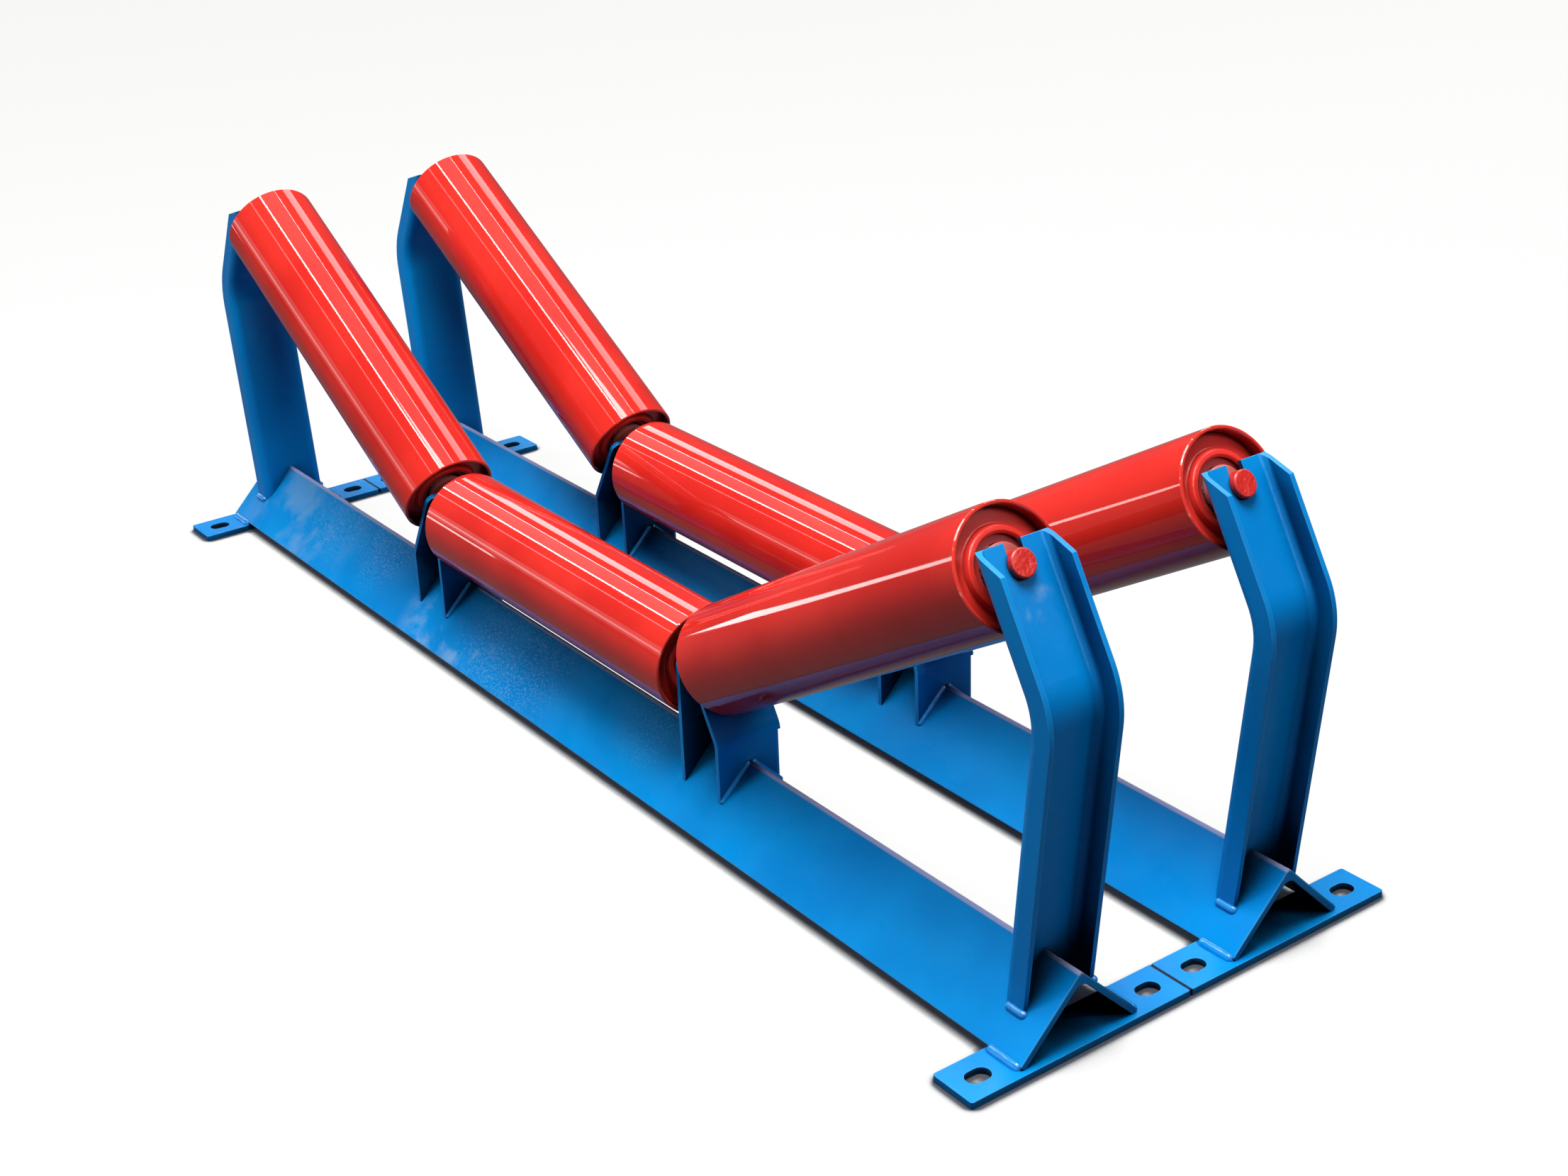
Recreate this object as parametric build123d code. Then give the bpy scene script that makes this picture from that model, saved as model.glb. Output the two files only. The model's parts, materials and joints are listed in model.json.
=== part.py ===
from build123d import *
import math
import os

# Double row of troughing idlers for a 1000 mm conveyor belt.
# Two equal sets stand side by side with their foot plates butted end to end.
# X runs across the belt, +Y from the near set to the far set, +Z up, millimetres.

# sets
SET_PITCH = 200.0
SETS = {"near": -SET_PITCH / 2, "far": SET_PITCH / 2}
SIDES = {"left": -1, "right": 1}

# rollers
ROLLER_DIA = 89.0
ROLLER_LEN = 380.0
SHELL_WALL = 3.0
SHELL_CHAMFER = 0.8
TROUGH_DEG = 30.0
CENTRE_AXIS_Z = 124.0
WING_DX = 33.0
WING_DZ = 15.0

# foot plates
FOOT_W = 40.0
FOOT_T = 5.0
FOOT_PROUD = 5.0
FOOT_CORNER_R = 2.0
SLOT_W = 14.0
SLOT_LEN = 20.0
SLOT_SPACING = 155.0

# base angle, apex up
ANGLE_LEG = 75.0
ANGLE_T = 5.0
ANGLE_OVERHANG = 44.0
ANGLE_ROOT_R = 8.0
ANGLE_TOE_R = 2.0
ANGLE_APEX_R = 1.5

# bracket plate and its seat for the flatted shaft
PLATE_T = 4.0
SEAT_GAP = 6.0
SEAT_TOP = 16.0
FLAT_CLEAR = 0.2
SEAT_CORNER_R = 2.5

# end brackets, channels that open away from the rollers
END_W = 64.0
END_DEPTH = 22.0
END_INSET = 29.0
END_LEAN_DEG = 6.0
END_KNEE_R = 50.0
END_FOLD_R = 9.0
END_HORN_DROP = 20.0

# middle brackets, two seat plates joined by a back web
MID_W = 60.0
MID_SPREAD = 26.0
MID_KNEE_R = 15.0
MID_TOP_R = 8.0
MID_BACK_TOP = 78.0
MID_FOLD_R = 5.0

# shaft
SHAFT_DIA = 20.0
FLAT_W = 14.0
NOTCH_CLEAR = 0.3
HEAD_LEN = 5.0
HEAD_CHAMFER = 0.8

# pressed bearing housing, depths are measured inward from the end of the shell
SHEET_T = 3.0
LIP_LEN = 9.0
WEB_DEPTH = 10.0
RIDGE_DEPTH = 5.0
RIDGE_FOOT_R = 30.5
RIDGE_OUTER_R = 28.6
RIDGE_INNER_R = 25.0
HOUSING_FILLET = 1.2

# bearing 20 x 47 x 14
BEARING_OD = 47.0
BEARING_W = 14.0
BEARING_DEPTH = 13.0
RACE_T = 3.9
BALL_R = 3.9
BALL_CLEAR = 0.07
STOP_LIP = 3.0
RING_CHAMFER = 0.6

# labyrinth seals and retaining rings
SEAL_FACE_DEPTH = 9.5
SEAL_FACE_T = 2.0
SEAL_RIM_T = 2.0
SEAL_GAP = 0.5
CUP_R = 17.4
CUP_DEPTH = 4.0
CUP_FACE_T = 3.0
SLEEVE_R = 12.5
AXIAL_CLEAR = 0.3
CLIP_T = 1.2
CLIP_R = 12.8
CLIP_GROOVE = 0.7

# weld beads
TOE_BEAD_R = 4.5
FLANGE_BEAD_R = 3.2
PLATE_BEAD_R = 2.6
BEAD_SETBACK = 1.0

# derived sizes
ROLLER_R = ROLLER_DIA / 2
SHELL_BORE_R = ROLLER_R - SHELL_WALL
HALF_LEN = ROLLER_LEN / 2
SHAFT_R = SHAFT_DIA / 2
PLATE_OUT = SEAT_GAP + PLATE_T
SHAFT_HALF = HALF_LEN + PLATE_OUT + NOTCH_CLEAR + HEAD_LEN
TOE_RISE = ANGLE_TOE_R * (math.sqrt(2) - 1)
APEX_Z = FOOT_T + (ANGLE_LEG + ANGLE_T) / math.sqrt(2) - TOE_RISE
TOE_Y = ANGLE_LEG / math.sqrt(2)
COS_T = math.cos(math.radians(TROUGH_DEG))
SIN_T = math.sin(math.radians(TROUGH_DEG))
WING_LO = (HALF_LEN + WING_DX, CENTRE_AXIS_Z + WING_DZ)
WING_HI = (WING_LO[0] + ROLLER_LEN * COS_T, WING_LO[1] + ROLLER_LEN * SIN_T)
WING_MID = ((WING_LO[0] + WING_HI[0]) / 2, (WING_LO[1] + WING_HI[1]) / 2)
MID_WING_FACE_X = WING_LO[0] + MID_SPREAD
END_FOOT_X = round(WING_HI[0] + END_INSET)
ANGLE_LEN = 2 * (END_FOOT_X + ANGLE_OVERHANG)
FOOT_X = ANGLE_LEN / 2 + FOOT_PROUD - FOOT_W / 2

os.makedirs("parts", exist_ok=True)


def save(solids, name):
    """Write one node; several solids stay separate in it."""
    items = solids if isinstance(solids, list) else [solids]
    flat = []
    for item in items:
        flat.extend(item.solids())
    export_step(Compound(children=flat) if len(flat) > 1 else flat[0], f"parts/{name}.step")


def xz_prism(points, width, rounds=()):
    """Extrude an X-Z outline symmetrically in Y; rounds lists (x, z, radius) corners."""
    sketch = Plane.XZ * make_face(Polyline(*points, close=True))
    for x, z, radius in rounds:
        corner = sketch.vertices().sort_by_distance(Vector(x, 0, z))[0]
        sketch = fillet([corner], radius)
    return extrude(sketch, amount=width / 2, both=True)


def wing_point(origin, along, up):
    """Point in the wing roller's own frame: distance along its axis and square to it."""
    return (origin[0] + along * COS_T - up * SIN_T, origin[1] + along * SIN_T + up * COS_T)


def meet(p, p_dir, q, q_dir):
    """Crossing of two lines in X-Z."""
    det = p_dir[0] * q_dir[1] - p_dir[1] * q_dir[0]
    t = ((q[0] - p[0]) * q_dir[1] - (q[1] - p[1]) * q_dir[0]) / det
    return (p[0] + t * p_dir[0], p[1] + t * p_dir[1])


def place(shape, side, set_y):
    """Move a right-hand near-origin shape to its side and its set."""
    turned = shape if side > 0 else shape.mirror(Plane.YZ)
    return turned.translate((0, set_y, 0))


# the filled outline of the base angle, used to cut the feet of the brackets
DROP = APEX_Z
ANGLE_CORE = extrude(
    Plane.YZ * make_face(Polyline((0, APEX_Z), (DROP, 0), (-DROP, 0), close=True)), ANGLE_LEN / 2, both=True)


def base_angle():
    """Rolled equal angle lying apex up on the foot plates."""
    thick = ANGLE_T / math.sqrt(2)
    toe_z = APEX_Z - TOE_Y
    outline = [(0, APEX_Z), (TOE_Y, toe_z), (TOE_Y - thick, toe_z - thick),
               (0, APEX_Z - 2 * thick),
               (thick - TOE_Y, toe_z - thick), (-TOE_Y, toe_z)]
    sketch = make_face(Polyline(*outline, close=True))
    for y, z, radius in ((0, APEX_Z, ANGLE_APEX_R), (0, APEX_Z - 2 * thick, ANGLE_ROOT_R),
                         (TOE_Y - thick, toe_z - thick, ANGLE_TOE_R),
                         (thick - TOE_Y, toe_z - thick, ANGLE_TOE_R)):
        corner = sketch.vertices().sort_by_distance(Vector(y, z, 0))[0]
        sketch = fillet([corner], radius)
    return extrude(Plane.YZ * sketch, ANGLE_LEN / 2, both=True)


def foot_plate():
    """Flat bar along Y with one slot at each end."""
    bar = Pos(FOOT_X, 0, FOOT_T / 2) * Box(FOOT_W, SET_PITCH, FOOT_T)
    bar = fillet(bar.edges().filter_by(Axis.Z), FOOT_CORNER_R)
    slot = extrude(SlotOverall(SLOT_LEN, SLOT_W, rotation=90), FOOT_T, both=True)
    for end in (-1, 1):
        bar -= Pos(FOOT_X, end * SLOT_SPACING / 2, FOOT_T / 2) * slot
    return bar


def seat_cutter():
    """Open-topped seat for the flats, cut along +X through a plate at the origin."""
    height = SEAT_TOP + SHAFT_R + ROLLER_R
    block = Box(4 * PLATE_T, FLAT_W + 2 * FLAT_CLEAR, height)
    low = block.edges().filter_by(Axis.X).sort_by(Axis.Z)[:2]
    return Pos(0, 0, height / 2 - SHAFT_R) * fillet(low, SEAT_CORNER_R)


def wing_seat(origin, along):
    """The same seat turned square to the wing roller."""
    x, z = wing_point(origin, along, 0)
    return Pos(x, 0, z) * Rot(0, -TROUGH_DEG, 0) * seat_cutter()


def end_line(offset):
    """Top, knee and foot of the end bracket at a distance from its roller face."""
    lean = math.radians(END_LEAN_DEG)
    lean_dir = (math.sin(lean), math.cos(lean))
    foot = (END_FOOT_X + offset * math.cos(lean), APEX_Z - END_W / 2 - offset * math.sin(lean))
    top = wing_point(WING_HI, SEAT_GAP + offset, SEAT_TOP)
    knee = meet(top, (-SIN_T, COS_T), foot, lean_dir)
    low = meet(foot, lean_dir, (0, 0), (1, 0))
    return top, knee, low


def end_bracket():
    """Pressed channel: web towards the roller, flanges outward, seat at its top."""
    top, knee, low = end_line(0)
    web_top, web_knee, web_low = end_line(PLATE_T)
    free_top, free_knee, free_low = end_line(END_DEPTH)
    horn = wing_point(WING_HI, SEAT_GAP + END_DEPTH, SEAT_TOP - END_HORN_DROP)
    body = xz_prism([top, web_top, horn, free_knee, free_low, low, knee], END_W,
                    [(*free_knee, END_KNEE_R + END_DEPTH), (*knee, END_KNEE_R)])
    far_top = wing_point(WING_HI, SEAT_GAP + 2 * END_DEPTH, SEAT_TOP)
    _, far_knee, far_low = end_line(2 * END_DEPTH)
    hollow = xz_prism([web_top, far_top, far_knee, far_low, web_low, web_knee], END_W - 2 * PLATE_T,
                      [(*web_knee, END_KNEE_R + PLATE_T)])
    body = fillet(fold_edges(body, END_W / 2, (top, knee, low)), END_FOLD_R)
    inner = fold_edges(hollow, END_W / 2 - PLATE_T, (web_top, web_knee, web_low))
    body -= fillet(inner, END_FOLD_R - PLATE_T)
    body -= wing_seat(WING_HI, SEAT_GAP + PLATE_T / 2)
    return body - ANGLE_CORE


def fold_edges(solid, half_width, line):
    """Edges of a bent channel that lie at a half width along its top, knee and foot line."""
    found = []
    for edge in solid.edges():
        mid = edge.position_at(0.5)
        at = (mid.X, mid.Z)
        spans = [math.dist(at, a) + math.dist(at, b) - math.dist(a, b) for a, b in zip(line, line[1:])]
        if abs(abs(mid.Y) - half_width) < 0.01 and min(spans) < 1.0 and edge.length > 2 * PLATE_T:
            found.append(edge)
    return found


def mid_bracket():
    """Two seat plates over the ridge, the outer one bent square to the wing roller."""
    inner_x = HALF_LEN + SEAT_GAP
    height = CENTRE_AXIS_Z + SEAT_TOP
    plate = Pos(inner_x + PLATE_T / 2, 0, height / 2) * Box(PLATE_T, MID_W, height)
    top_edges = plate.edges().filter_by(Axis.X).sort_by(Axis.Z)[-2:]
    plate = fillet(top_edges, MID_TOP_R)
    plate -= Pos(inner_x + PLATE_T / 2, 0, CENTRE_AXIS_Z) * seat_cutter()
    face = MID_WING_FACE_X
    back = face - PLATE_T
    face_top = wing_point(WING_LO, -SEAT_GAP, SEAT_TOP)
    back_top = wing_point(WING_LO, -PLATE_OUT, SEAT_TOP)
    face_knee = meet(face_top, (-SIN_T, COS_T), (face, 0), (0, 1))
    back_knee = meet(back_top, (-SIN_T, COS_T), (back, 0), (0, 1))
    bent = xz_prism([face_top, face_knee, (face, 0), (back, 0), back_knee, back_top], MID_W,
                    [(*face_knee, MID_KNEE_R + PLATE_T), (*back_knee, MID_KNEE_R)])
    crown = bent.edges().filter_by(lambda e: abs(e.length - PLATE_T) < 0.01 and e.center().Z > height - 20)
    bent = fillet(crown, MID_TOP_R)
    bent -= wing_seat(WING_LO, -SEAT_GAP - PLATE_T / 2)
    span = face - inner_x
    middle = inner_x + span / 2
    channel = extrude(Pos(middle, 0) * (fold_outline(span, MID_W, MID_FOLD_R)
                      - Pos(0, -PLATE_T) * fold_outline(span - 2 * PLATE_T, MID_W, MID_FOLD_R - PLATE_T)), MID_BACK_TOP)
    above = Pos(middle, 0, MID_BACK_TOP + height / 2) * Box(2 * span, 2 * MID_W, height)
    return channel + (plate & above) + (bent & above) - ANGLE_CORE


def fold_outline(length, width, radius):
    """Rectangle in plan with its two rear corners rounded."""
    sketch = Rectangle(length, width)
    return fillet(sketch.vertices().sort_by(Axis.Y)[-2:], radius)


def rod(start, end, radius):
    """Round-ended bar between two points."""
    a = Vector(*start)
    b = Vector(*end)
    run = b - a
    bar = Plane(origin=a, z_dir=run) * Cylinder(radius, run.length, align=(Align.CENTER, Align.CENTER, Align.MIN))
    return bar + Pos(a) * Sphere(radius) + Pos(b) * Sphere(radius)


def weld_beads(angle, plate, end, mid):
    """Fillet beads of one side of a set, cut back to the faces they lie on."""
    beads = []
    toe_z = APEX_Z - TOE_Y
    x0 = FOOT_X - FOOT_W / 2 + BEAD_SETBACK + TOE_BEAD_R
    x1 = ANGLE_LEN / 2 - BEAD_SETBACK - TOE_BEAD_R
    for hand in (-1, 1):
        y = hand * (TOE_Y - BEAD_SETBACK)
        bead = rod((x0, y, FOOT_T), (x1, y, FOOT_T), TOE_BEAD_R)
        keep = Pos((x0 + x1) / 2, hand * (TOE_Y - BEAD_SETBACK + TOE_BEAD_R), toe_z)
        keep = keep * Box(FOOT_W, 2 * TOE_BEAD_R, 2 * toe_z)
        beads.append((bead & keep) - angle - plate)
    foot_z = APEX_Z - END_W / 2
    lean = math.radians(END_LEAN_DEG)
    flange0 = END_FOOT_X + END_FOLD_R
    flange1 = END_FOOT_X + END_DEPTH * math.cos(lean)
    for hand in (-1, 1):
        y = hand * END_W / 2
        bead = rod((flange0, y, foot_z), (flange1, y, foot_z), FLANGE_BEAD_R)
        beads.append(bead - angle - end)
    inner = HALF_LEN + SEAT_GAP
    outer = MID_WING_FACE_X
    tip = MID_W / 2 - PLATE_BEAD_R
    start = ANGLE_APEX_R * 2
    for x in (inner, outer):
        for hand in (-1, 1):
            bead = rod((x, hand * start, APEX_Z - start), (x, hand * tip, APEX_Z - tip), PLATE_BEAD_R)
            beads.append(bead - angle - mid)
    return beads


def ring(outline):
    """Turn an outline of (radius, depth) points about the roller axis, one at each end."""
    sketch = Plane.XZ * make_face(Polyline(*[(HALF_LEN - depth, radius) for radius, depth in outline], close=True))
    turned = revolve(sketch, Axis.X)
    return [turned, turned.mirror(Plane.YZ)]


def shell():
    """Roller tube with eased ends."""
    tube = Cylinder(ROLLER_R, ROLLER_LEN) - Cylinder(SHELL_BORE_R, ROLLER_LEN)
    rims = [e for e in tube.edges() if e.geom_type == GeomType.CIRCLE]
    return Rot(0, 90, 0) * chamfer(rims, SHELL_CHAMFER)


def housings():
    """Pressed end cups with a raised ring round the bearing seat."""
    seat_r = BEARING_OD / 2
    back_r = seat_r + SHEET_T
    stop = BEARING_DEPTH + BEARING_W
    lip_r = SHELL_BORE_R - SHEET_T
    corners = [(SHELL_BORE_R, WEB_DEPTH), (RIDGE_FOOT_R, WEB_DEPTH), (RIDGE_OUTER_R, RIDGE_DEPTH),
               (RIDGE_INNER_R, RIDGE_DEPTH), (seat_r, RIDGE_DEPTH + SHEET_T / 2), (seat_r, stop),
               (seat_r - STOP_LIP, stop), (seat_r - STOP_LIP, stop + SHEET_T), (back_r, stop + SHEET_T),
               (back_r, RIDGE_DEPTH + SHEET_T), (RIDGE_OUTER_R, RIDGE_DEPTH + SHEET_T),
               (RIDGE_FOOT_R, WEB_DEPTH + SHEET_T), (lip_r, WEB_DEPTH + SHEET_T), (lip_r, WEB_DEPTH + LIP_LEN),
               (SHELL_BORE_R, WEB_DEPTH + LIP_LEN)]
    sketch = Plane.XZ * make_face(Polyline(*[(HALF_LEN - d, r) for r, d in corners], close=True))
    for r, d in corners[1:4]:
        corner = sketch.vertices().sort_by_distance(Vector(HALF_LEN - d, 0, r))[0]
        sketch = fillet([corner], HOUSING_FILLET)
    turned = revolve(sketch, Axis.X)
    return [turned, turned.mirror(Plane.YZ)]


def ball_track():
    """Torus that clears the ball ring in both races."""
    pitch_r = (BEARING_OD / 2 + SHAFT_R) / 2
    middle = HALF_LEN - BEARING_DEPTH - BEARING_W / 2
    groove = Pos(middle, 0, 0) * Rot(0, 90, 0) * Torus(pitch_r, BALL_R + BALL_CLEAR)
    balls = Pos(middle, 0, 0) * Rot(0, 90, 0) * Torus(pitch_r, BALL_R)
    return groove, balls


def race(inner_r, outer_r, groove):
    """Plain bearing ring with its ball groove."""
    depth0 = BEARING_DEPTH
    depth1 = BEARING_DEPTH + BEARING_W
    body = ring([(inner_r, depth0), (outer_r, depth0), (outer_r, depth1), (inner_r, depth1)])[0]
    one = body - groove
    return [one, one.mirror(Plane.YZ)]


def roller_pieces():
    """All pieces of a roller lying along X about the origin."""
    seat_r = BEARING_OD / 2
    groove, balls = ball_track()
    outer = race(seat_r - RACE_T, seat_r, groove)
    inner = race(SHAFT_R, SHAFT_R + RACE_T, groove)
    seal_back = BEARING_DEPTH - AXIAL_CLEAR
    face_back = SEAL_FACE_DEPTH + SEAL_FACE_T
    bore_r = CUP_R + SEAL_GAP
    seal = ring([(bore_r, SEAL_FACE_DEPTH), (seat_r, SEAL_FACE_DEPTH), (seat_r, seal_back),
                 (seat_r - SEAL_RIM_T, seal_back), (seat_r - SEAL_RIM_T, face_back), (bore_r, face_back)])
    cup = ring([(SHAFT_R, CUP_DEPTH), (CUP_R - RING_CHAMFER, CUP_DEPTH), (CUP_R, CUP_DEPTH + RING_CHAMFER),
                (CUP_R, CUP_DEPTH + CUP_FACE_T), (SLEEVE_R, CUP_DEPTH + CUP_FACE_T),
                (SLEEVE_R, BEARING_DEPTH), (SHAFT_R, BEARING_DEPTH)])
    clip0 = BEARING_DEPTH + BEARING_W
    clip_r = SHAFT_R - CLIP_GROOVE
    clip = ring([(clip_r, clip0), (CLIP_R, clip0), (CLIP_R, clip0 + CLIP_T), (clip_r, clip0 + CLIP_T)])
    return {
        "shell": [shell()],
        "housings": housings(),
        "bearings_outer": outer + [balls, balls.mirror(Plane.YZ)],
        "seals_outer": seal,
        "shaft": [shaft(clip0, clip_r)],
        "bearings_inner": inner + clip,
        "seals_inner": cup,
    }


def shaft(clip0, clip_r):
    """Bright bar with grooves for the retaining rings and a flatted neck near each end."""
    bar = Rot(0, 90, 0) * Cylinder(SHAFT_R, 2 * SHAFT_HALF)
    ends = [e for e in bar.edges() if e.geom_type == GeomType.CIRCLE]
    bar = chamfer(ends, HEAD_CHAMFER)
    neck = PLATE_T + 2 * NOTCH_CLEAR
    neck_x = HALF_LEN + SEAT_GAP + PLATE_T / 2
    for end in (-1, 1):
        for hand in (-1, 1):
            flat = Pos(end * neck_x, hand * (FLAT_W / 2 + SHAFT_R / 2), 0) * Box(neck, SHAFT_R, SHAFT_DIA)
            bar -= flat
        groove = Rot(0, 90, 0) * (Cylinder(SHAFT_R + 1, CLIP_T) - Cylinder(clip_r, CLIP_T))
        bar -= Pos(end * (HALF_LEN - clip0 - CLIP_T / 2), 0, 0) * groove
    return bar


def main():
    angle = base_angle()
    plate = foot_plate()
    end = end_bracket()
    mid = mid_bracket()
    beads = weld_beads(angle, plate, end, mid)
    for set_name, set_y in SETS.items():
        save(angle.translate((0, set_y, 0)), f"{set_name}_base_angle")
        for side_name, side in SIDES.items():
            save(place(plate, side, set_y), f"{set_name}_{side_name}_foot_plate")
            save(place(end, side, set_y), f"{set_name}_{side_name}_end_bracket")
            save(place(mid, side, set_y), f"{set_name}_{side_name}_middle_bracket")
        all_beads = [place(bead, side, set_y) for side in SIDES.values() for bead in beads]
        save(all_beads, f"{set_name}_weld_beads")
    spots = {"centre": (0.0, CENTRE_AXIS_Z, 0.0)}
    for side_name, side in SIDES.items():
        spots[side_name] = (side * WING_MID[0], WING_MID[1], -side * TROUGH_DEG)
    pieces = roller_pieces()
    for set_name, set_y in SETS.items():
        for spot_name, (x, z, turn) in spots.items():
            spot = Pos(x, set_y, z) * Rot(0, turn, 0)
            for piece_name, solids in pieces.items():
                save([spot * solid for solid in solids], f"{set_name}_{spot_name}_{piece_name}")


main()
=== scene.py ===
import bpy
import json
import math
from mathutils import Matrix, Vector

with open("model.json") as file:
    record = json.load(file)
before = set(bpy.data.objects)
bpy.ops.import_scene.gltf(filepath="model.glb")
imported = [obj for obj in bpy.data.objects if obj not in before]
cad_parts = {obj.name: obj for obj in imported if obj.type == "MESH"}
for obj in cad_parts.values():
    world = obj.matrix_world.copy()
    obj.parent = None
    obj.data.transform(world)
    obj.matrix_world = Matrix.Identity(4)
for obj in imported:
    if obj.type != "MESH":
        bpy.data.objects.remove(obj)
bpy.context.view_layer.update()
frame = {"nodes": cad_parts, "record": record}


# node helpers

def new_material(name):
    """An empty node material with a Principled shader."""
    mat = bpy.data.materials.new(name)
    mat.use_nodes = True
    tree = mat.node_tree
    tree.nodes.clear()
    out = tree.nodes.new("ShaderNodeOutputMaterial")
    bsdf = tree.nodes.new("ShaderNodeBsdfPrincipled")
    tree.links.new(bsdf.outputs["BSDF"], out.inputs["Surface"])
    return mat, tree, bsdf


def coords(tree, scale=(1, 1, 1)):
    """Object coordinates stretched by scale."""
    tex = tree.nodes.new("ShaderNodeTexCoord")
    mapping = tree.nodes.new("ShaderNodeMapping")
    mapping.inputs["Scale"].default_value = scale
    tree.links.new(tex.outputs["Object"], mapping.inputs["Vector"])
    return mapping.outputs["Vector"]


def noise(tree, vector, scale, detail=4.0, rough=0.5):
    """Noise value on a vector."""
    node = tree.nodes.new("ShaderNodeTexNoise")
    node.inputs["Scale"].default_value = scale
    node.inputs["Detail"].default_value = detail
    node.inputs["Roughness"].default_value = rough
    tree.links.new(vector, node.inputs["Vector"])
    return node.outputs["Fac"]


def ramp(tree, value, low, high, out_low=0.0, out_high=1.0):
    """Maps low..high to out_low..out_high, smoothly and clamped."""
    node = tree.nodes.new("ShaderNodeMapRange")
    node.interpolation_type = "SMOOTHSTEP"
    node.inputs["From Min"].default_value = low
    node.inputs["From Max"].default_value = high
    node.inputs["To Min"].default_value = out_low
    node.inputs["To Max"].default_value = out_high
    tree.links.new(value, node.inputs["Value"])
    return node.outputs["Result"]


def calc(tree, kind, *values):
    """One Math node on one or two values, each a socket or a number."""
    node = tree.nodes.new("ShaderNodeMath")
    node.operation = kind
    for socket, value in zip(node.inputs, values):
        if isinstance(value, (int, float)):
            socket.default_value = value
        else:
            tree.links.new(value, socket)
    return node.outputs["Value"]


def mix(tree, factor, a, b):
    """Mix of two colours, each a socket or an (r, g, b)."""
    node = tree.nodes.new("ShaderNodeMix")
    node.data_type = "RGBA"
    tree.links.new(factor, node.inputs[0])
    for socket, colour in ((node.inputs[6], a), (node.inputs[7], b)):
        if isinstance(colour, tuple):
            socket.default_value = (*colour, 1.0)
        else:
            tree.links.new(colour, socket)
    return node.outputs[2]


def bump(tree, bsdf, height, strength, distance):
    """Bump node from a height value, on the shader's normal."""
    node = tree.nodes.new("ShaderNodeBump")
    node.inputs["Strength"].default_value = strength
    node.inputs["Distance"].default_value = distance
    tree.links.new(height, node.inputs["Height"])
    tree.links.new(node.outputs["Normal"], bsdf.inputs["Normal"])
    return node


def near(tree, vector, centre, reach):
    """1 in the inner quarter of a ball round a point, falling smoothly to 0 at its reach."""
    node = tree.nodes.new("ShaderNodeVectorMath")
    node.operation = "DISTANCE"
    tree.links.new(vector, node.inputs[0])
    node.inputs[1].default_value = centre
    return ramp(tree, node.outputs["Value"], reach, reach * 0.25)


def edges(tree, radius):
    """(normal rounded at the edges, 1 on a sharp edge and 0 on the flats)."""
    flat_cosine, sharp_cosine = 0.985, 0.86
    soft = tree.nodes.new("ShaderNodeBevel")
    soft.samples = 4
    soft.inputs["Radius"].default_value = radius
    flat = tree.nodes.new("ShaderNodeNewGeometry")
    dot = tree.nodes.new("ShaderNodeVectorMath")
    dot.operation = "DOT_PRODUCT"
    tree.links.new(soft.outputs["Normal"], dot.inputs[0])
    tree.links.new(flat.outputs["Normal"], dot.inputs[1])
    sharp = ramp(tree, dot.outputs["Value"], flat_cosine, sharp_cosine)
    return soft.outputs["Normal"], sharp


def closeness(tree, reach, black, clear, samples=8):
    """0 where solids within reach close off the sky, 1 where it is open."""
    close = tree.nodes.new("ShaderNodeAmbientOcclusion")
    close.samples = samples
    close.inputs["Distance"].default_value = reach
    return ramp(tree, close.outputs["AO"], black, clear)


# paints: distances in metres, noise scales per metre

TONE_SCALE = 9.0
PATCH_SCALE = 14.0
CLOUD_SCALE = 16.0
SMEAR_SCALE = 26.0
PEEL_SCALE = 140.0
SPECK_SCALE = 420.0
GRIT_SCALE = 480.0
STEEL_SCALE = (60, 900, 900)    # grinding marks, drawn out along X
PAINT_IOR = 1.35
PEEL_HEIGHT = 0.001
SMOOTH_RIPPLE = 0.01    # a paint with less ripple than this keeps a clean highlight at its edges
SPECK_SHARE = 0.20
# share of the edge colour in the painted highlight on sharp edges
EDGE_HIGHLIGHT_SHARE = 0.55
PATCH_DULL, DUST_DULL, WORN_DULL = 0.03, 0.3, 0.3    # roughness that marked places gain
PAINTED_SHADE_SHARE = 0.035    # what is left of the colour under the full painted shade in corners and recesses
# closeness values at which the painted shade in corners, recesses and under other parts is full
# and where it ends
PAINTED_SHADE_BLACK, PAINTED_SHADE_CLEAR = 0.30, 0.80

BLUE = (0.0, 0.285, 0.76)
BLUE_DEEP = (0.0, 0.235, 0.67)
# painted highlight colour for sharp blue edges, on the next line
BLUE_EDGE_HIGHLIGHT = (0.20, 0.60, 0.95)
RED = (0.75, 0.030, 0.020)
RED_DEEP = (0.64, 0.020, 0.014)
# the roller red made lighter for the housing, a painted light on the roller ends, on the next line
RED_LIT = (0.90, 0.045, 0.035)
# painted highlight colour for sharp red edges, on the next line
RED_EDGE_HIGHLIGHT = (0.95, 0.20, 0.14)
SEAL_RED = (0.45, 0.03, 0.03)
SEAL_DEEP = (0.36, 0.02, 0.02)
CUP_PINK = (0.62, 0.16, 0.14)
CUP_DEEP = (0.52, 0.12, 0.11)
STEEL_GREY = (0.55, 0.55, 0.56)
SPECK = (0.40, 0.55, 0.66)
DUST = (0.36, 0.52, 0.66)
# painted shade colour for the seam between the foot plates, on the next line
JOINT_SHADE = (0.0, 0.006, 0.02)
# painted highlight colour for the ridge of the angles, on the next line
RIDGE_HIGHLIGHT = (0.36, 0.42, 0.72)


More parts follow.
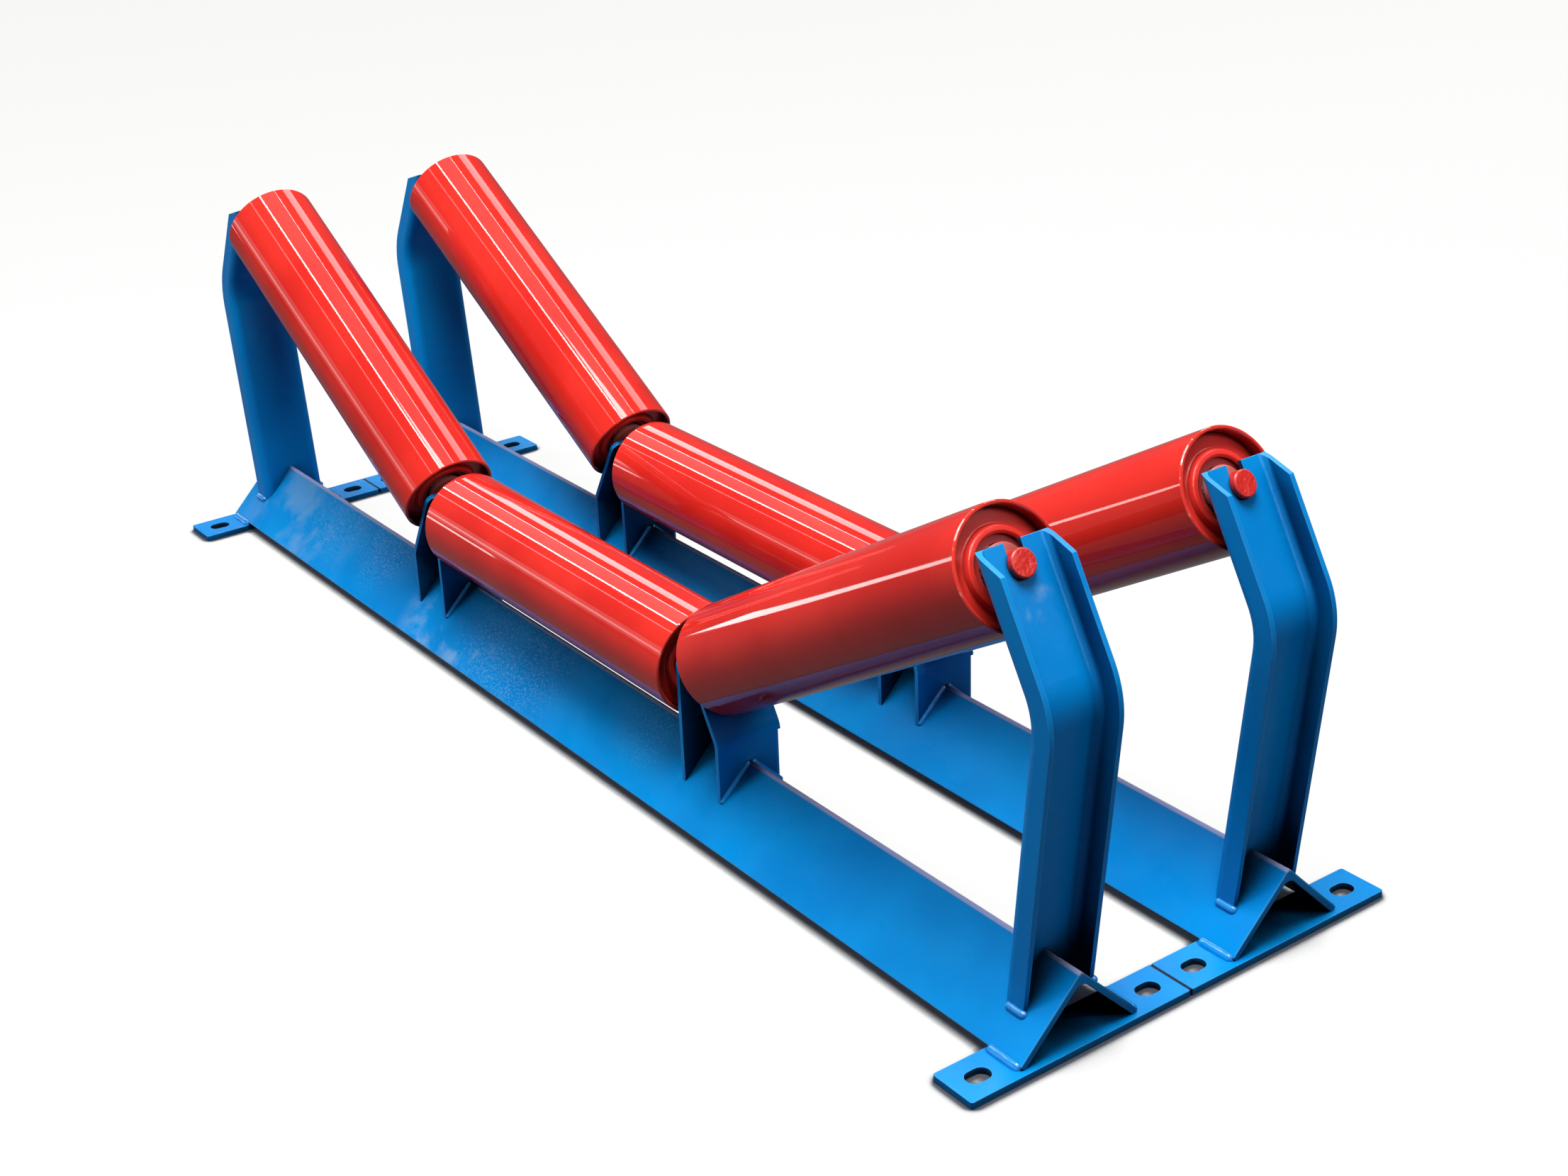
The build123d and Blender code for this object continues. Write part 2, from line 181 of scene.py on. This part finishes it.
def paint(name, colour, shade, roughness, ripple, gloss, dust=0.0, edge_highlight=None,
          patches=(), lines=(), highlight_edge_radius=0.0009, painted_shade_reach=0.0):
    """Sprayed paint that drifts between colour and shade, with orange peel and specks.

    ripple is the strength of the orange peel and gloss that of the reflections. The edge colour is
    a painted highlight along the sharp edges. patches are dusty or scuffed spots, lines are narrow
    bands across one axis that paint a shade or a highlight, and the last argument is the reach
    within which corners, recesses and places under other parts get a painted shade.
    """
    mat, tree, bsdf = new_material(name)
    vec = coords(tree)
    tone = ramp(tree, noise(tree, vec, TONE_SCALE, 3.0), 0.35, 0.65)
    base = mix(tree, tone, shade, colour)
    specks = ramp(tree, noise(tree, vec, SPECK_SCALE, 2.0), 0.70, 0.78)
    patch = ramp(tree, noise(tree, vec, PATCH_SCALE, 5.0, 0.65), 0.52, 0.70)
    grain = calc(tree, "MULTIPLY", specks, patch)
    base = mix(tree, calc(tree, "MULTIPLY", grain, SPECK_SHARE + dust), base, SPECK)

    worn = 0.0
    for centre, reach, amount, gritty in patches:
        spot = near(tree, vec, centre, reach)
        scale = GRIT_SCALE if gritty else CLOUD_SCALE
        cloud = ramp(tree, noise(tree, vec, scale, 4.0, 0.6), 0.48, 0.66)
        spot = calc(tree, "MULTIPLY", calc(tree, "MULTIPLY", spot, cloud), amount)
        base = mix(tree, spot, base, DUST)
        worn = calc(tree, "MAXIMUM", worn, spot)

    smears = noise(tree, vec, SMEAR_SCALE, 4.0)
    rough = ramp(tree, smears, 0.3, 0.7, roughness * 0.8, roughness * 1.3)
    rough = calc(tree, "ADD", rough, calc(tree, "MULTIPLY", patch, PATCH_DULL + DUST_DULL * dust))
    rough = calc(tree, "ADD", rough, calc(tree, "MULTIPLY", worn, WORN_DULL))
    tree.links.new(rough, bsdf.inputs["Roughness"])
    bsdf.inputs["IOR"].default_value = PAINT_IOR
    bsdf.inputs["Specular IOR Level"].default_value = gloss
    peel = bump(tree, bsdf, noise(tree, vec, PEEL_SCALE, 3.0), ripple, PEEL_HEIGHT)

    # painted highlight: sharp edges are lightened towards the edge colour
    if edge_highlight:
        normal, sharp = edges(tree, highlight_edge_radius)
        base = mix(tree, calc(tree, "MULTIPLY", sharp, EDGE_HIGHLIGHT_SHARE), base, edge_highlight)
        if ripple > SMOOTH_RIPPLE:
            tree.links.new(normal, peel.inputs["Normal"])
    if lines:
        split = tree.nodes.new("ShaderNodeSeparateXYZ")
        tree.links.new(vec, split.inputs[0])
    for axis, place, half_width, tint in lines:
        away = calc(tree, "ABSOLUTE", calc(tree, "SUBTRACT", split.outputs[axis], place))
        base = mix(tree, ramp(tree, away, half_width * 1.3, half_width * 0.7), base, tint)
    # painted shade: corners, recesses and places under other parts go dark where nearby solids
    # close off the sky
    if painted_shade_reach:
        deep = tuple(PAINTED_SHADE_SHARE * c for c in shade)
        base = mix(tree, closeness(tree, painted_shade_reach, PAINTED_SHADE_BLACK, PAINTED_SHADE_CLEAR), deep, base)
    tree.links.new(base, bsdf.inputs["Base Color"])
    return mat


def steel(name, colour, roughness):
    """Ground bearing steel."""
    mat, tree, bsdf = new_material(name)
    vec = coords(tree, STEEL_SCALE)
    marks = noise(tree, vec, 1.0, 3.0)
    rough = ramp(tree, marks, 0.3, 0.7, roughness * 0.7, roughness * 1.4)
    tree.links.new(rough, bsdf.inputs["Roughness"])
    bsdf.inputs["Base Color"].default_value = (*colour, 1.0)
    bsdf.inputs["Metallic"].default_value = 1.0
    return mat


# (place, reach, amount, gritty) of the dusty and scuffed patches on the near angle
ANGLE_DUST = (
    ((-0.44, -0.108, 0.052), 0.07, 0.30, True),
    ((-0.34, -0.104, 0.057), 0.07, 0.34, True),
    ((-0.21, -0.138, 0.023), 0.06, 0.5, False),
    ((-0.145, -0.130, 0.031), 0.05, 0.8, False),
    ((-0.08, -0.114, 0.047), 0.12, 0.30, True),
    ((-0.51, -0.122, 0.038), 0.14, 0.26, False),
    ((0.13, -0.107, 0.053), 0.06, 0.20, True),
)
# the same for the scuffs on the near right end bracket, below its shaft
BRACKET_SCUFFS = (
    ((0.574, -0.099, 0.310), 0.022, 0.9, False),
    ((0.588, -0.088, 0.286), 0.010, 0.5, False),
)
# (axis, place, half width, colour) of the painted shade in the seam between the foot plates of the
# two sets
PLATE_JOINT_SHADE = (("Y", 0.0, 0.0014, JOINT_SHADE),)
# and of the painted highlight along the top ridge of both angles
RIDGE_Z = max(v.co.z for v in frame["nodes"]["near_base_angle"].data.vertices)
ANGLE_RIDGE_HIGHLIGHT = (("Z", RIDGE_Z, 0.0017, RIDGE_HIGHLIGHT),)

SLOTS = {
    "angle_paint": paint("blue_angle", BLUE, BLUE_DEEP, roughness=0.28, ripple=0.08, gloss=0.18,
                         dust=0.10, edge_highlight=BLUE_EDGE_HIGHLIGHT, patches=ANGLE_DUST, lines=ANGLE_RIDGE_HIGHLIGHT,
                         highlight_edge_radius=0.0022, painted_shade_reach=0.14),
    "plate_paint": paint("blue_plate", BLUE, BLUE_DEEP, roughness=0.28, ripple=0.08, gloss=0.18,
                         edge_highlight=BLUE_EDGE_HIGHLIGHT, lines=PLATE_JOINT_SHADE, painted_shade_reach=0.05),
    "bracket_paint": paint("blue_bracket", BLUE, BLUE_DEEP, roughness=0.24, ripple=0.06,
                           gloss=0.22, edge_highlight=BLUE_EDGE_HIGHLIGHT, patches=BRACKET_SCUFFS, painted_shade_reach=0.08),
    "weld_paint": paint("blue_weld", BLUE, BLUE_DEEP, roughness=0.14, ripple=0.8, gloss=1.0,
                        edge_highlight=BLUE_EDGE_HIGHLIGHT),
    "roller_paint": paint("red_roller", RED, RED_DEEP, roughness=0.035, ripple=0.001, gloss=0.7,
                          edge_highlight=RED_EDGE_HIGHLIGHT, painted_shade_reach=0.02),
    # the housing's lighter red is a painted light on the roller ends
    "housing_paint": paint("red_housing", RED_LIT, RED, roughness=0.16, ripple=0.05,
                           gloss=0.6, edge_highlight=RED_EDGE_HIGHLIGHT, painted_shade_reach=0.012),
    "shaft_paint": paint("red_shaft", RED, RED_DEEP, roughness=0.20, ripple=0.9, gloss=0.6,
                         edge_highlight=RED_EDGE_HIGHLIGHT),
    "bearing_steel": steel("bearing_steel", STEEL_GREY, roughness=0.25),
    "seal_plastic": paint("red_seal", SEAL_RED, SEAL_DEEP, roughness=0.45, ripple=0.05, gloss=0.4),
    "cup_plastic": paint("pink_cup", CUP_PINK, CUP_DEEP, roughness=0.45, ripple=0.05, gloss=0.4),
}

slot_of = {row["node"]: row["material_slot"] for row in frame["record"]["subparts"]}
for node, obj in frame["nodes"].items():
    obj.data.materials.clear()
    obj.data.materials.append(SLOTS[slot_of[node]])


# floor

GLOSS_SHARE = 0.10
PAPER_WHITE = (0.99, 0.995, 0.965)
SHADOW = (0.01, 0.012, 0.02)
FLOOR_GREY = (0.07, 0.075, 0.09)
FLOOR_GLOW = 0.92
FLOOR_REACH = 40.0
FLOOR_DROP = 0.0005
# (reach, black, clear) of the painted shadow in the floor's glow: the thin dark line and the wide
# shadow round the object
CONTACT_SHADOW_LINE = (0.010, 0.79, 0.86)
SOFT_SHADOW = (0.07, 0.48, 0.68)


def shown_rays(tree):
    """1 for camera and transmission rays, a share for glossy ones, 0 for those that give light."""
    path = tree.nodes.new("ShaderNodeLightPath")
    gloss = calc(tree, "MULTIPLY", path.outputs["Is Glossy Ray"], GLOSS_SHARE)
    seen = calc(tree, "MAXIMUM", path.outputs["Is Camera Ray"], gloss)
    return calc(tree, "MAXIMUM", seen, path.outputs["Is Transmission Ray"])


def floor_material():
    """Pale floor: near white where it is seen, with a painted shadow in that glow under and round
    the object, and a weak bounce.
    """
    mat, tree, bsdf = new_material("pale_floor")
    bsdf.inputs["Base Color"].default_value = (*FLOOR_GREY, 1.0)
    bsdf.inputs["Roughness"].default_value = 1.0
    bsdf.inputs["Specular IOR Level"].default_value = 0.0
    # painted shadow: the glow goes towards the shadow colour where the object is near above the
    # floor
    open_floor = calc(tree, "MULTIPLY", closeness(tree, *CONTACT_SHADOW_LINE, samples=12),
                      closeness(tree, *SOFT_SHADOW))
    glow = tree.nodes.new("ShaderNodeEmission")
    tree.links.new(mix(tree, open_floor, SHADOW, PAPER_WHITE), glow.inputs["Color"])
    glow.inputs["Strength"].default_value = FLOOR_GLOW
    add = tree.nodes.new("ShaderNodeAddShader")
    tree.links.new(bsdf.outputs["BSDF"], add.inputs[0])
    tree.links.new(glow.outputs["Emission"], add.inputs[1])
    pick = tree.nodes.new("ShaderNodeMixShader")
    tree.links.new(shown_rays(tree), pick.inputs[0])
    tree.links.new(bsdf.outputs["BSDF"], pick.inputs[1])
    tree.links.new(add.outputs["Shader"], pick.inputs[2])
    out = next(n for n in tree.nodes if n.type == "OUTPUT_MATERIAL")
    tree.links.new(pick.outputs["Shader"], out.inputs["Surface"])
    return mat


mesh = bpy.data.meshes.new("floor")
corners = [(x * FLOOR_REACH, y * FLOOR_REACH, 0) for x, y in ((-1, -1), (1, -1), (1, 1), (-1, 1))]
mesh.from_pydata(corners, [], [(0, 1, 2, 3)])
floor = bpy.data.objects.new("floor", mesh)
bpy.context.collection.objects.link(floor)
floor.location.z = -FLOOR_DROP
mesh.materials.append(floor_material())


# lamps

WHITE = (1, 1, 1)
WARM = (1.0, 0.97, 0.94)
STRIP_LENGTH = 10.0
STRIP_HEIGHT = 2.4


def lamp(name, where, aim, size, power, colour=WHITE):
    """Rectangular area light that faces a point."""
    data = bpy.data.lights.new(name, "AREA")
    data.shape = "RECTANGLE"
    data.size, data.size_y = size
    data.energy = power
    data.color = colour
    obj = bpy.data.objects.new(name, data)
    obj.location = where
    obj.rotation_euler = (Vector(aim) - Vector(where)).to_track_quat("-Z", "Y").to_euler()
    bpy.context.collection.objects.link(obj)
    return obj


def fill(name, where, aim, size, power):
    """Soft lamp that lights the paint without showing in its gloss."""
    lamp(name, where, aim, (size, size), power).visible_glossy = False


def reflector(name, where, aim, width, radiance):
    """Long lamp along X that shows only in the gloss."""
    power = radiance * math.pi * STRIP_LENGTH * width
    lamp(name, where, aim, (STRIP_LENGTH, width), power).visible_diffuse = False


# (name, Y, width, radiance) of the tubes and panels over the rollers
OVERHEAD = (
    ("tube_a", -1.45, 0.10, 5),
    ("tube_b", -0.55, 0.11, 36),
    ("haze", 0.05, 1.10, 1.2),
    ("tube_c", 0.15, 0.15, 32),
    ("tube_d", 0.60, 0.08, 24),
    ("panel", 1.95, 1.10, 5.5),
)
for name, y, width, radiance in OVERHEAD:
    reflector(name, (0, y, STRIP_HEIGHT), (0, y, 0), width, radiance)
lamp("soft_top", (0.45, -0.35, 3.3), (0, 0, 0), (1.5, 1.5), 152, WARM)
fill("soft_front", (-1.6, -2.6, 2.0), (0, 0, 0.1), 1.0, 42)
fill("soft_end", (2.0, 0.3, 1.6), (0.6, 0, 0.2), 0.5, 9)
fill("soft_rear", (-0.8, 3.6, 2.2), (0, 0, 0.1), 1.4, 34)
low_left = lamp("low_left", (-5.0, -2.1, 0.05), (0, 0, 0.25), (2.6, 0.35), 23)
low_left.visible_diffuse = False
reflector("low_front", (0, -3.0, 0.75), (0, 0, 0.2), 0.22, 3.0)
reflector("low_haze", (0, -3.1, 0.85), (0, 0, 0.2), 0.9, 0.9)


# surroundings: white where they are seen, a dim blue where they light the object

SKY_BLUE = (0.45, 0.60, 1.0)
SKY_LIGHT = 0.05

world = bpy.data.worlds.new("studio")
bpy.context.scene.world = world
world.use_nodes = True
tree = world.node_tree
tree.nodes.clear()
out = tree.nodes.new("ShaderNodeOutputWorld")
dim = tree.nodes.new("ShaderNodeBackground")
dim.inputs["Color"].default_value = (*SKY_BLUE, 1.0)
dim.inputs["Strength"].default_value = SKY_LIGHT
white = tree.nodes.new("ShaderNodeBackground")
white.inputs["Color"].default_value = (*PAPER_WHITE, 1.0)
white.inputs["Strength"].default_value = 1.0
pick = tree.nodes.new("ShaderNodeMixShader")
tree.links.new(shown_rays(tree), pick.inputs[0])
tree.links.new(dim.outputs[0], pick.inputs[1])
tree.links.new(white.outputs[0], pick.inputs[2])
tree.links.new(pick.outputs[0], out.inputs["Surface"])


# camera where the photograph was taken from

AZIMUTH, ELEVATION, ROLL = (math.radians(angle) for angle in (54.53, 24.67, -2.26))
TARGET = Vector((-0.10002, 0.18752, 0.0))
DISTANCE = 2.20409
FOCAL_PIXELS = 3184.85
PICTURE_PIXELS = 2212
SENSOR_WIDTH = 36.0

back = Vector((math.sin(AZIMUTH) * math.cos(ELEVATION),
               -math.cos(AZIMUTH) * math.cos(ELEVATION),
               math.sin(ELEVATION)))
right = (-back).cross(Vector((0, 0, 1))).normalized()
up = right.cross(-back)
right, up = (math.cos(ROLL) * right + math.sin(ROLL) * up,
             -math.sin(ROLL) * right + math.cos(ROLL) * up)
cam_data = bpy.data.cameras.new("photo_camera")
cam_data.sensor_fit = "HORIZONTAL"
cam_data.sensor_width = SENSOR_WIDTH
cam_data.lens = FOCAL_PIXELS / PICTURE_PIXELS * SENSOR_WIDTH
camera = bpy.data.objects.new("photo_camera", cam_data)
turn = Matrix((right, up, back)).transposed().to_4x4()
camera.matrix_world = Matrix.Translation(TARGET + back * DISTANCE) @ turn
bpy.context.collection.objects.link(camera)
bpy.context.scene.camera = camera
bpy.context.scene.view_settings.view_transform = "Standard"
